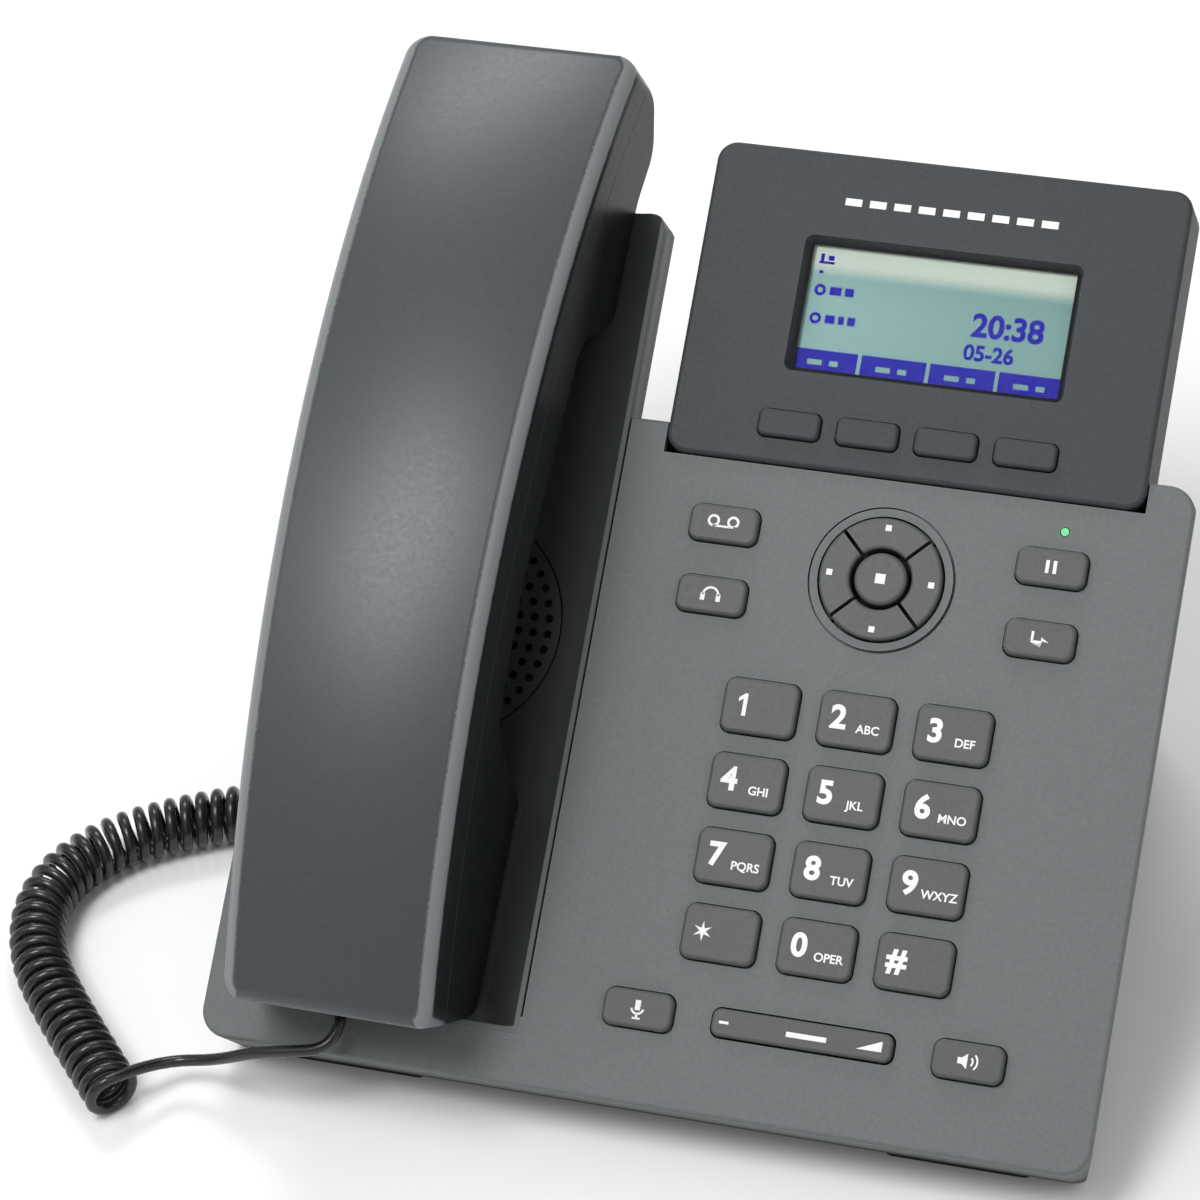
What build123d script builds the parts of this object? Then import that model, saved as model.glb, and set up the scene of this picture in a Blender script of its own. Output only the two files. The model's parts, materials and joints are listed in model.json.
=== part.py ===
from build123d import *
import math
import os

# Corded desk telephone, millimetres.
#
# Two frames are used.
# Panel frame: X to the right from the centre of the dial pad, Y up the sloping panel from its
#   bottom edge, Z out of the panel, which is the plane Z = 0.
# Desk frame (the model's own frame): X to the right, Y away from the user, Z up. The origin is
#   at the bottom centre of the phone's bounding box, on the desk, without the handset cord.

# ---- driving dimensions ------------------------------------------------------------------
TILT = 35.0                     # slope of the panel above the desk
BACK_Z = -22.0                  # back plane of the base, panel frame
SPLIT_Z = -12.0                 # joint between front and rear cover
SIDE_DRAFT = 0.16               # how much each side of the base leans in, per millimetre of depth
PANEL_X = (-121.1, 58.9)        # the base is 180 mm wide
PANEL_Y = (0.0, 136.0)
TOWER_RIGHT = -56.2             # right side of the handset cradle
TOWER_TOP = 180.0               # upper end of the handset cradle
WALL = 2.5
FOOT_HEIGHT = 2.0
TOE_DEPTH = 2.5                 # how far the uncut lower back edge would reach below the desk
DEPTH_CENTRE = 67.2             # middle of the phone's depth, from the lower back edge

CRADLE_X = (-115.0, TOWER_RIGHT)
CRADLE_Y = (10.0, TOWER_TOP)
CRADLE_FLOOR = -8.0

DISPLAY_X = (-47.9, 49.1)
DISPLAY_Y = (130.0, 195.0)
DISPLAY_Z = (-13.8, 1.2)
WINDOW_X = (-26.0, 29.0)
WINDOW_Y = (150.0, 176.7)

KEY_SIZE = (15.0, 11.0)
KEY_COLUMNS = (-19.4, 0.0, 19.4)
KEY_ROWS = (80.85, 65.7, 50.6, 35.4)
KEY_NAMES = ("1", "2", "3", "4", "5", "6", "7", "8", "9", "star", "0", "hash")
SIDE_KEY_SIZE = (14.0, 7.5)
SOFT_KEY_SIZE = (12.5, 5.5)
SOFT_KEY_X = (-23.4, -7.5, 8.4, 24.4)
SOFT_KEY_Y = 138.0
NAV_CENTRE = (0.0, 109.6)
NAV_RADIUS = 12.3
NAV_RIM = (12.8, 14.3)          # raised ring round the navigation keys
NAV_INNER = 6.2
OK_RADIUS = 5.3
ROCKER_CENTRE = (0.0, 18.5)
ROCKER_SIZE = (36.0, 5.5)
KEY_GAP = 0.3                   # clearance round every key
KEY_TOP = 1.7

HANDSET_X = -88.5
HANDSET_Y = (5.5, 206.8)
HANDSET_HALF = (21.5, 24.6)     # half width at the mouth end and at the ear end
EAR_Y = 170.0
ARCH_RADIUS = 228.0             # back of the handset, seen from the side
ARCH_CENTRE = (95.0, -185.0)
GRIP_THICKNESS = 21.0
SHELL_SPLIT = 10.5              # depth of the joint between the handset's two shells
HANDSET_WALL = 2.2

BAY_X = (-76.0, 24.0)           # the jack bay on the back of the base
BAY_Y = (92.0, 122.0)
BAY_Z = -38.0
BOARD_Z = (-22.4, -20.8)
RJ9_X = (-66.0, -53.0)          # handset jack and headset jack
RJ45_X = (-36.0, -14.0)         # network jacks
POWER_X = 9.0

WIRE = 2.4                      # handset cord, outside its coil
COIL = 12.0                     # outer diameter of the curled stretch

SIN = math.sin(math.radians(TILT))
COS = math.cos(math.radians(TILT))


# ---- frames and simple shapes ------------------------------------------------------------
def desk_point(x, y, z):
    """A panel-frame point in the desk frame."""
    rise = z - BACK_Z
    return (x - sum(PANEL_X) / 2, y * COS - rise * SIN - DEPTH_CENTRE, y * SIN + rise * COS - TOE_DEPTH)


PANEL = Plane(origin=desk_point(0, 0, 0), x_dir=(1, 0, 0), z_dir=(0, -SIN, COS))


def block(x, y, z):
    """A box from its ranges along X, Y and Z."""
    centre = Pos(sum(x) / 2, sum(y) / 2, sum(z) / 2)
    return centre * Box(x[1] - x[0], y[1] - y[0], z[1] - z[0])


def slab(x, y, z, radius):
    """A box whose upright edges are rounded."""
    outline = RectangleRounded(x[1] - x[0], y[1] - y[0], radius)
    return Pos(sum(x) / 2, sum(y) / 2, z[0]) * extrude(outline, amount=z[1] - z[0])


def around(centre, size, grow=0.0):
    """The X and Y ranges of a rectangle about a centre."""
    return tuple((c - s / 2 - grow, c + s / 2 + grow) for c, s in zip(centre, size))


def disc(x, y, z, radius):
    """An upright cylinder between two heights."""
    return Pos(x, y, (z[0] + z[1]) / 2) * Cylinder(radius, z[1] - z[0])


def side_wedge(x, y, side):
    """What a leaning side leaves off; side is 1 for a right side and -1 for a left one."""
    top, bottom = -2.0, BACK_Z - 1
    lean = SIDE_DRAFT * (top - bottom)
    far = x + 8 * side
    outline = Polyline((x, top), (far, top), (far, bottom), (x - lean * side, bottom), (x, top))
    return extrude(Plane.XZ.offset(-y[1]) * make_face(outline), amount=y[1] - y[0], dir=(0, -1, 0))


def base_outline(z, inset):
    """The base: the panel's rectangle with the handset tower standing above its left part."""
    left, right = PANEL_X[0] + inset, PANEL_X[1] - inset
    panel = slab((left, right), (PANEL_Y[0] + inset, PANEL_Y[1] - inset), z, 5.5 - inset)
    tower = slab((left, TOWER_RIGHT - inset), (60, TOWER_TOP - inset), z, 6.0 - inset)
    outline = panel + tower
    outline -= side_wedge(left, (-1, TOWER_TOP + 1), -1)
    outline -= side_wedge(right, (-1, PANEL_Y[1] + 1), 1)
    return outline - side_wedge(TOWER_RIGHT - inset, (PANEL_Y[1] - inset, TOWER_TOP + 1), 1)


# ---- places that several parts share -----------------------------------------------------
def key_places():
    """Every pushed key of the panel: name, centre and size."""
    places = []
    for index, name in enumerate(KEY_NAMES):
        centre = (KEY_COLUMNS[index % 3], KEY_ROWS[index // 3])
        places.append(("key_" + name, centre, KEY_SIZE))
    side = (("message_key", -33.1, 116.4), ("headset_key", -33.1, 101.9), ("hold_key", 33.1, 116.4),
            ("transfer_key", 33.1, 101.9), ("mute_key", -32.9, 18.5), ("speaker_key", 32.9, 18.5))
    for name, x, y in side:
        places.append((name, (x, y), SIDE_KEY_SIZE))
    return places


PANEL_SCREWS = ((50.5, 14.0), (50.5, 122.0))
CRADLE_SCREWS = ((-104.0, 34.0), (-104.0, 150.0))
BOARD_POSTS = ((-49.0, 12.0), (41.0, 10.0), (-49.0, 88.0), (43.0, 88.0))
STATUS_LIGHT = (34.4, 124.0)
SPEAKER = (HANDSET_X, 91.0)
HOOK = (HANDSET_X, 165.0)


# ---- base: covers and cradle ---------------------------------------------------------------
def front_cover():
    cover = base_outline((SPLIT_Z, 0), 0)
    cover = fillet(cover.faces().sort_by(Axis.Z)[-1].edges(), 0.8)
    cover -= base_outline((SPLIT_Z, -WALL), WALL)
    cover -= block(CRADLE_X, (CRADLE_Y[0], TOWER_TOP + 1), (SPLIT_Z - 1, 1))
    cover -= block((CRADLE_X[1] - 1, CRADLE_X[1] + 0.4), (CRADLE_Y[0] + 3.5, TOWER_TOP), (SPLIT_Z - 1, 1))
    cover -= block((DISPLAY_X[0] - 0.3, DISPLAY_X[1] + 0.3), (DISPLAY_Y[0] - 0.3, 137), (SPLIT_Z - 1, 1))
    for _, centre, size in key_places():
        x, y = around(centre, size, KEY_GAP)
        cover -= slab(x, y, (-3, 1), 2.3)
    cover -= disc(*NAV_CENTRE, (-0.9, 1), NAV_RIM[1] + 0.5)
    cover += disc(*NAV_CENTRE, (-1, 0.5), NAV_RIM[1])
    cover -= disc(*NAV_CENTRE, (-3, 1), NAV_RIM[0])
    x, y = around(ROCKER_CENTRE, ROCKER_SIZE, KEY_GAP + 0.1)
    cover -= slab(x, y, (-3, 1), 2.0)
    cover -= disc(*STATUS_LIGHT, (-3, 1), 1.0)
    cover -= Pos(30, 1, -7) * Rot(90, 0, 0) * Cylinder(0.7, 4)
    for x, y in PANEL_SCREWS:
        boss = disc(x, y, (-15, -WALL), 3.2)
        cover += boss - disc(x, y, (-15, -8), 1.4)
    return cover


def trough():
    """The hollow that the handset lies in, with its right side rolled over to the panel."""
    floor = CRADLE_FLOOR
    left, right = CRADLE_X[0] + 1.7, CRADLE_X[1] - 0.9
    section = Polyline((left, 1), (left, floor + 1), (left + 1, floor), (right - 8.5, floor))
    wall = ThreePointArc((right - 8.5, floor), (right - 2.9, floor + 2.6), (right - 0.2, 0.0))
    lid = Polyline((right - 0.2, 0.0), (right, 1), (left, 1))
    face = make_face([section, wall, lid])
    cut = extrude(Plane.XZ.offset(-TOWER_TOP - 1) * face, amount=TOWER_TOP - CRADLE_Y[0])
    toe = slab((left - 5, right + 5), (CRADLE_Y[0] + 1.2, TOWER_TOP + 20), (floor - 1, 2), 7.5)
    return cut & toe


def cradle():
    body = slab(CRADLE_X, CRADLE_Y, (SPLIT_Z, 0), 6.0)
    body += block(CRADLE_X, (CRADLE_Y[0], 40), (SPLIT_Z, 0))
    body = body - trough()
    body -= block((CRADLE_X[0] + 2, -68.5), (CRADLE_Y[0] + 2, TOWER_TOP - 2.5), (SPLIT_Z - 1, -10.2))
    body -= block((-68.6, -59.0), (CRADLE_Y[0] + 2, TOWER_TOP - 2.5), (SPLIT_Z - 1, -9.9))
    body -= disc(*SPEAKER, (-12, -7), 24.2)
    x, y = around(HOOK, (12, 7), 0.4)
    body -= slab(x, y, (-13, -7), 1.5)
    for x, y in CRADLE_SCREWS:
        body += disc(x, y, (-15, -10.2), 3.2) - disc(x, y, (-15, -11), 1.4)
    # two low ridges carry the handset's ear and mouth blocks
    for y in (26.0, 174.0):
        body += block((HANDSET_X - 14, HANDSET_X + 14), (y - 2, y + 2), (CRADLE_FLOOR - 0.1, -6.6))
    return body - side_wedge(TOWER_RIGHT, (PANEL_Y[1], TOWER_TOP + 1), 1)


def rear_cover():
    cover = base_outline((BACK_Z, SPLIT_Z), 0)
    cover = fillet(cover.faces().sort_by(Axis.Z)[0].edges(), 2.0)
    cover -= base_outline((BACK_Z + WALL, SPLIT_Z), WALL)
    cover += slab(BAY_X, BAY_Y, (BAY_Z, BACK_Z + 0.5), 3.0)
    cover -= block((BAY_X[0] + 2, BAY_X[1] - 2), (BAY_Y[0] + 2, BAY_Y[1] - 2), (BAY_Z + 2, BACK_Z + 3))
    neck = slab((-32, 34), (128, 165), (BACK_Z, DISPLAY_Z[0]), 3.0)
    neck -= block((-29.5, 31.5), (126, 162.5), (BACK_Z + WALL, DISPLAY_Z[0] + 1))
    cover += neck
    notch_x = (DISPLAY_X[0] - 0.3, DISPLAY_X[1] + 0.3)
    cover -= block(notch_x, (DISPLAY_Y[0] - 0.3, 137), (DISPLAY_Z[0], SPLIT_Z + 1))
    # the bay's lower wall is open where the row of jacks looks out
    cover -= block((RJ9_X[0] - 5.3, POWER_X + 5.0), (BAY_Y[0] - 1, BAY_Y[0] + 3), (BAY_Z + 2, BOARD_Z[0]))
    # two keyholes for hanging the base on a wall
    for x in (-76.0, 14.0):
        cover -= disc(x, 40, (BACK_Z - 1, BACK_Z + 3), 4.5)
        cover -= block((x - 2.2, x + 2.2), (40, 48), (BACK_Z - 1, BACK_Z + 3))
        cover -= disc(x, 48, (BACK_Z - 1, BACK_Z + 3), 2.2)
    for x, y in BOARD_POSTS:
        cover += disc(x, y, (BACK_Z + 1, -8.1), 2.4)
    for x, y in PANEL_SCREWS + CRADLE_SCREWS:
        cover += disc(x, y, (BACK_Z + 0.5, -15.2), 4.6)
        cover -= disc(x, y, (BACK_Z - 1, -18.6), 3.0)
        cover -= disc(x, y, (BACK_Z - 1, -14), 1.7)
    # a thick lower edge, cut level where the front feet stand
    cover += block((PANEL_X[0] + 4, PANEL_X[1] - 4), (1, 9), (BACK_Z + 1, -16))
    desk_cut = Pos(0, 0, FOOT_HEIGHT - 50) * Box(400, 400, 100)
    return PANEL.location * cover - desk_cut


def cover_screws():
    screws = []
    for x, y in PANEL_SCREWS + CRADLE_SCREWS:
        head = disc(x, y, (-20.6, -18.6), 2.7)
        socket = Pos(x, y, -20.6) * Box(3.0, 0.7, 1.6) + Pos(x, y, -20.6) * Box(0.7, 3.0, 1.6)
        screws.append(head - socket + disc(x, y, (-18.6, -11.4), 1.4))
    return Compound(children=[screw.solid() for screw in screws])


# ---- display block -------------------------------------------------------------------------
def display_bezel():
    bezel = slab(DISPLAY_X, DISPLAY_Y, (-6.5, DISPLAY_Z[1]), 4.0)
    bezel = fillet(bezel.faces().sort_by(Axis.Z)[-1].edges(), 1.0)
    inner_x = (DISPLAY_X[0] + 2, DISPLAY_X[1] - 2)
    inner_y = (DISPLAY_Y[0] + 2, DISPLAY_Y[1] - 2)
    bezel -= slab(inner_x, inner_y, (-7, -1.3), 2.5)
    window = Pos(sum(WINDOW_X) / 2, sum(WINDOW_Y) / 2, -1.4) * extrude(
        RectangleRounded(WINDOW_X[1] - WINDOW_X[0], WINDOW_Y[1] - WINDOW_Y[0], 1.0), amount=3, taper=-18)
    bezel -= window
    for x in SOFT_KEY_X:
        hole_x, hole_y = around((x, SOFT_KEY_Y), SOFT_KEY_SIZE, KEY_GAP)
        bezel -= slab(hole_x, hole_y, (-2, 2), 1.7)
    return bezel


def display_rear_cover():
    cover = slab(DISPLAY_X, DISPLAY_Y, (DISPLAY_Z[0], -6.5), 4.0)
    outer = cover.edges().filter_by(GeomType.LINE).filter_by_position(Axis.Z, -13.81, -13.79)
    cover = chamfer(outer.sort_by(Axis.Y)[-1], 1.5)
    cover -= slab((DISPLAY_X[0] + 2, DISPLAY_X[1] - 2), (DISPLAY_Y[0] + 2, DISPLAY_Y[1] - 2), (-11.6, -6), 2.5)
    return cover


def lcd_lens():
    x = (WINDOW_X[0] - 2.5, WINDOW_X[1] + 2.5)
    y = (WINDOW_Y[0] - 2.5, WINDOW_Y[1] + 2.5)
    return slab(x, y, (-2.3, -1.35), 1.5)


def lcd_module():
    glass = block((WINDOW_X[0] - 4, WINDOW_X[1] + 4), (WINDOW_Y[0] - 4, WINDOW_Y[1] + 4), (-5.2, -2.4))
    board = block((-36, 38), (134, 190), (-6.2, -5.2))
    return glass + board


# ---- keys ------------------------------------------------------------------------------------
def key(centre, size, radius=2.0, top=KEY_TOP, rim=-2.8, skirt=1.1):
    """A key cap with a skirt under the cover that keeps it from falling out."""
    x, y = around(centre, size)
    cap = slab(x, y, (rim - 1.2, top), radius)
    cap = fillet(cap.faces().sort_by(Axis.Z)[-1].edges(), 0.7)
    x, y = around(centre, size, skirt)
    return cap + slab(x, y, (rim - 1.2, rim), radius)


def nav_key(angle):
    """A quarter of the ring round the OK key, cut on the diagonals."""
    x, y = NAV_CENTRE
    ring = disc(x, y, (-4.0, 1.6), NAV_RADIUS) - disc(x, y, (-5, 3), NAV_INNER)
    ring = fillet(ring.faces().sort_by(Axis.Z)[-1].edges(), 0.6)
    ring += disc(x, y, (-4.0, -2.8), NAV_RADIUS + 1.6) - disc(x, y, (-5, 3), NAV_INNER)
    reach = 40.0
    slit = 0.55
    wedge = make_face(Polyline((slit, 0), (reach + slit, reach), (reach + slit, -reach), (slit, 0)))
    sector = Pos(x, y, -5) * extrude(Rot(0, 0, angle) * wedge, amount=10)
    return ring & sector


def nav_ok():
    x, y = NAV_CENTRE
    cap = disc(x, y, (-4.0, 1.5), OK_RADIUS)
    return fillet(cap.faces().sort_by(Axis.Z)[-1].edges(), 0.8)


def volume_rocker():
    x, y = around(ROCKER_CENTRE, ROCKER_SIZE)
    cap = slab(x, y, (-5.2, 1.5), 1.7)
    cap = fillet(cap.faces().sort_by(Axis.Z)[-1].edges(), 0.6)
    x, y = around(ROCKER_CENTRE, ROCKER_SIZE, 1.0)
    return cap + slab(x, y, (-5.2, -4.1), 1.7)


def status_light():
    return disc(*STATUS_LIGHT, (-6.4, 0.2), 0.8)


# ---- boards and electric parts ---------------------------------------------------------------
def keypad_board():
    return block((-52, 46), (8, 127), (-8.1, -6.5))


def keypad_mat():
    """A silicone sheet with a low dome under each key."""
    mat = block((-50, 44), (10, 126), (-6.5, -6.0))
    for _, centre, _ in key_places():
        mat += disc(*centre, (-6.1, -5.4), 3.0)
    mat += disc(*NAV_CENTRE, (-6.1, -5.4), 3.0)
    for x, y in PANEL_SCREWS:
        mat -= disc(x, y, (-7, -5), 4.0)
    return mat - disc(*STATUS_LIGHT, (-7, -5), 1.4)


def main_board():
    return block((BAY_X[0] + 2.2, BAY_X[1] - 2.2), (BAY_Y[0] + 2.2, BAY_Y[1] - 2.2), BOARD_Z)


def jack(x, width, height, depth, cavity):
    """A jack under the main board whose mouth looks down the slope."""
    mouth = BAY_Y[0] + 0.2
    top = BOARD_Z[0] - 0.1
    body = block((x - width / 2, x + width / 2), (mouth, mouth + depth), (top - height, top))
    middle = top - height / 2
    hollow = block((x - cavity[0] / 2, x + cavity[0] / 2), (mouth - 1, mouth + cavity[2]),
                   (middle - cavity[1] / 2, middle + cavity[1] / 2))
    return body - hollow


def audio_jacks():
    return Compound(children=[jack(x, 10.0, 9.0, 13.5, (7.8, 6.2, 12.0)).solid() for x in RJ9_X])


def network_jacks():
    return Compound(children=[jack(x, 16.0, 13.2, 16.0, (11.9, 8.4, 14.0)).solid() for x in RJ45_X])


def power_jack():
    mouth = BAY_Y[0] + 0.2
    top = BOARD_Z[0] - 0.1
    body = block((POWER_X - 4.5, POWER_X + 4.5), (mouth, mouth + 14), (top - 11, top))
    middle = top - 5.5
    bore = Pos(POWER_X, mouth + 4.5, middle) * Rot(90, 0, 0) * Cylinder(3.2, 11)
    pin = Pos(POWER_X, mouth + 6.5, middle) * Rot(90, 0, 0) * Cylinder(1.0, 9)
    return body - bore + pin


def speaker_grille():
    """A disc with rings of round holes."""
    grille = disc(*SPEAKER, (-9.6, -7.9), 23.9)
    holes = []
    for ring in range(1, 8):
        for step in range(6 * ring):
            turn = 2 * math.pi * step / (6 * ring)
            holes.append(disc(SPEAKER[0] + 3.05 * ring * math.cos(turn),
                              SPEAKER[1] + 3.05 * ring * math.sin(turn), (-10, -7), 0.85))
    return grille - holes


def loudspeaker():
    x, y = SPEAKER
    frame = disc(x, y, (-13.0, -10.3), 24.5) - disc(x, y, (-12.0, -10.0), 20.5)
    return frame + disc(x, y, (-18.8, -13.0), 14.0) + disc(x, y, (-12.2, -10.9), 7.0)


def microphone():
    return Pos(30, 4.6, -7) * Rot(90, 0, 0) * Cylinder(3.0, 3.8)


def hook_plunger():
    """The plunger that the resting handset holds down."""
    x, y = around(HOOK, (12, 7))
    cap = slab(x, y, (-13.0, -5.6), 1.5)
    cap = fillet(cap.faces().sort_by(Axis.Z)[-1].edges(), 0.8)
    x, y = around(HOOK, (12, 7), 1.5)
    return cap + slab(x, y, (-16.6, -15.4), 1.5) + slab(*around(HOOK, (8, 4)), (-16, -12.5), 1.0)


# ---- stand and feet, drawn in the desk frame ---------------------------------------------------
LEG_X = 72.0
LEG_TOP = (92.0, 134.0)         # where the legs meet the base's back, along the panel's Y
TOE_Y = (116.0, 128.0)          # the stand's foot on the desk, from the lower back edge


def side_profile(points, x):
    """A side view drawn as (depth, height) points, extruded between two X values."""
    outline = [(0, y - DEPTH_CENTRE, z) for y, z in points]
    face = make_face(Polyline(*outline, outline[0]))
    return Pos(x[0], 0, 0) * extrude(face, amount=x[1] - x[0], dir=(1, 0, 0))


def foot_stand():
    low, high = LEG_TOP
    low_point = (low * COS, low * SIN - TOE_DEPTH)
    high_point = (high * COS, high * SIN - TOE_DEPTH)
    rear, front = (TOE_Y[1], FOOT_HEIGHT), (TOE_Y[0], FOOT_HEIGHT)
    leg = [low_point, high_point, rear, front]
    stand = side_profile(leg, (-LEG_X, -LEG_X + 3)) + side_profile(leg, (LEG_X - 3, LEG_X))
    back_plate = [high_point, rear, (rear[0] - 3.2, rear[1]), (high_point[0] - 3.2, high_point[1] - 2.3)]
    stand += side_profile(back_plate, (-LEG_X, LEG_X))
    sole = [front, rear, (rear[0], rear[1] + 3), (front[0], front[1] + 3)]
    stand += side_profile(sole, (-LEG_X, LEG_X))
    depth = high_point[0] - DEPTH_CENTRE
    for x in (-LEG_X + 8, LEG_X - 8):
        flange = side_profile([low_point, high_point, (high_point[0], high_point[1] - 3.5),
                               (low_point[0], low_point[1] - 3.5)], (x - 8, x + 8))
        stand += flange
    # the cables leave through an arch in the back plate, below a window
    stand -= Pos(0, depth + 15, 18) * Box(56, 40, 18)
    stand -= Pos(0, depth + 8, 47) * Box(90, 30, 14)
    return stand


def rubber_feet():
    feet = []
    for x in (-62.0, 62.0):
        front_foot = Pos(x, 1.6 - DEPTH_CENTRE, 0) * extrude(RectangleRounded(30, 7.4, 2), amount=FOOT_HEIGHT)
        rear_foot = Pos(x, 122.5 - DEPTH_CENTRE, 0) * extrude(RectangleRounded(18, 9, 2), amount=FOOT_HEIGHT)
        feet += [front_foot.solid(), rear_foot.solid()]
    return Compound(children=feet)


# ---- handset -----------------------------------------------------------------------------------
def arch_height(y, inset):
    """Height of the handset's arched back at a place along it, less an inset."""
    radius = ARCH_RADIUS - inset
    return ARCH_CENTRE[1] + math.sqrt(radius ** 2 - (y - ARCH_CENTRE[0]) ** 2)


def handset_profile(inset):
    """Side view: an arched back, and an ear block and a mouth block either side of the grip."""
    low, high = HANDSET_Y[0] + inset, HANDSET_Y[1] - inset
    middle = ARCH_CENTRE[0]
    under = GRIP_THICKNESS - inset
    ends = [(y, arch_height(y, inset)) for y in (low, middle, high)]
    face_points = [ends[2], (high - 0.5, 0.5), (193.8 - inset / 2, inset - 10.0), (181.5, inset - 5.4),
                   (156.0 + inset, inset - 5.0), (146.0 + inset, arch_height(146, under)),
                   (middle, arch_height(middle, under) + 0.7), (66.0 - inset, arch_height(66, under)),
                   (56.5 - inset, inset - 6.2), (13.4 + inset, inset - 6.2), ends[0]]
    radii = [5.0, 6.0, 12.0, 3.0 - inset / 2, 9.0, 60.0, 9.0, 3.0 - inset / 2, 4.0 - inset / 2]
    return make_face([ThreePointArc(*ends), FilletPolyline(*face_points, radius=radii)])


def handset_form(inset):
    """The handset's outer form, or the hollow inside it."""
    side = extrude(Plane.YZ * handset_profile(inset), amount=40, both=True)
    narrow, wide = HANDSET_HALF[0] - inset, HANDSET_HALF[1] - inset
    low, high = HANDSET_Y[0] + inset, HANDSET_Y[1] - inset
    outline = make_face(Polyline((-narrow, low), (narrow, low), (wide, high), (-wide, high), (-narrow, low)))
    outline = fillet(outline.vertices(), 5.5 - inset)
    form = side & Pos(0, 0, -20) * extrude(outline, amount=80)
    if not inset:
        form = fillet(form.faces().sort_by(Axis.Z)[-1].edges(), 3.4)
    return form


def arch_solid(inset):
    """Everything below the handset's arch, less an inset."""
    roll = Cylinder(ARCH_RADIUS - inset, 80, rotation=(0, 90, 0))
    return Pos(0, *ARCH_CENTRE) * roll


def handset_back_shell():
    shell = handset_form(0) - handset_form(HANDSET_WALL) - arch_solid(SHELL_SPLIT)
    return Pos(HANDSET_X, 0, 0) * shell


SOCKET_X = HANDSET_X - 2.0
SOCKET_Z = 6.0


def handset_face_shell():
    shell = (handset_form(0) - handset_form(HANDSET_WALL)) & arch_solid(SHELL_SPLIT + 0.2)
    shell = Pos(HANDSET_X, 0, 0) * shell
    holes = [disc(HANDSET_X, EAR_Y, (-9, 0), 0.9)]
    for step in range(8):
        turn = 2 * math.pi * step / 8
        holes.append(disc(HANDSET_X + 5 * math.cos(turn), EAR_Y + 5 * math.sin(turn), (-9, 0), 0.9))
    for x in (-3.5, 0.0, 3.5):
        holes.append(disc(HANDSET_X + x, 40, (-9, 0), 0.8))
    mouth = block((SOCKET_X - 5.1, SOCKET_X + 5.1), (2, 16), (SOCKET_Z - 4.6, SOCKET_Z + 4.6))
    return shell - holes - mouth


def handset_earpiece():
    return disc(HANDSET_X, EAR_Y, (-1.6, 4.6), 11.5) + disc(HANDSET_X, EAR_Y, (4.6, 7.0), 8.0)


def handset_microphone():
    return disc(HANDSET_X, 40, (-3.9, -1.2), 4.8)


def handset_weight():
    """A steel bar that gives the handset the weight to press the plunger down."""
    return slab((HANDSET_X - 11, HANDSET_X + 11), (104, 134), (26.5, 32.0), 2.0)


def handset_socket():
    body = block((SOCKET_X - 5, SOCKET_X + 5), (10.8, 25), (SOCKET_Z - 4.5, SOCKET_Z + 4.5))
    hollow = block((SOCKET_X - 3.9, SOCKET_X + 3.9), (9, 23), (SOCKET_Z - 3.1, SOCKET_Z + 3.1))
    return body - hollow


# ---- handset cord --------------------------------------------------------------------------------
PLUG_END = 9.0                  # where the cord leaves the handset, along the panel's Y
BASE_PLUG_END = BAY_Y[0] - 2.0  # where it leaves the plug in the base
BASE_PLUG_Z = BOARD_Z[0] - 4.6


def plug(x, y, z):
    """A modular plug: a square body with a latch, lying along the panel's Y."""
    body = block((x - 3.7, x + 3.7), y, (z - 2.9, z + 2.0))
    latch = block((x - 1.6, x + 1.6), (y[0] + 1, y[1] - 3), (z + 1.9, z + 2.9))
    return body + latch


LEAD_ROUTE = [desk_point(SOCKET_X, PLUG_END - 0.1, SOCKET_Z), desk_point(SOCKET_X, PLUG_END - 5.0, SOCKET_Z),
              (-62.0, -83.2, 20.9), (-68.2, -83.6, 19.4), (-76.0, -83.4, 17.0), (-83.0, -82.2, 12.4),
              (-89.0, -80.4, 8.2), (-95.6, -80.4, 6.6), (-101.0, -85.4, 8.8), (-105.2, -90.8, 10.7)]
COIL_ROUTE = [(-105.0, -91.2, 6.0), (-121.0, -74.7, 6.0), (-134.5, -58.7, 6.0), (-138.8, -41.7, 6.0),
              (-131.2, -26.2, 6.0), (-114.2, -15.0, 6.0), (-93.2, -6.6, 6.0), (-72.4, -3.0, 6.0),
              (-52.4, -5.2, 6.0)]
BASE_LEAD_ROUTE = [COIL_ROUTE[-1], (-44.6, -6.8, 7.6), (-38.2, -7.0, 13.6), (-35.0, -4.0, 22.0),
                   (-34.6, 0.4, 31.0), (-34.9, 4.0, 39.0),
                   desk_point(RJ9_X[0], BASE_PLUG_END, BASE_PLUG_Z)]


def bend_radii(route):
    """The largest arcs that each corner of a route leaves room for."""
    points = [Vector(*point) for point in route]
    radii = []
    for before, corner, after in zip(points, points[1:], points[2:]):
        turn = (corner - before).get_angle(after - corner)
        run = min((corner - before).length, (after - corner).length)
        radii.append(0.45 * run / math.tan(math.radians(turn / 2)))
    return radii


def cord_tube(name, route, diameter):
    """A round tube along straight runs joined by arcs."""
    radii = bend_radii(route)
    path = FilletPolyline(*route, radius=radii)
    start = Plane(origin=path @ 0, z_dir=path % 0)
    tube = sweep(start * Circle(diameter / 2), path=path)
    expected = math.pi * diameter ** 2 / 4 * path.length
    print(name, "length", round(path.length, 1), "radii", [round(radius, 1) for radius in radii],
          "volume ratio", round(tube.volume / expected, 4))
    return tube


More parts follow.
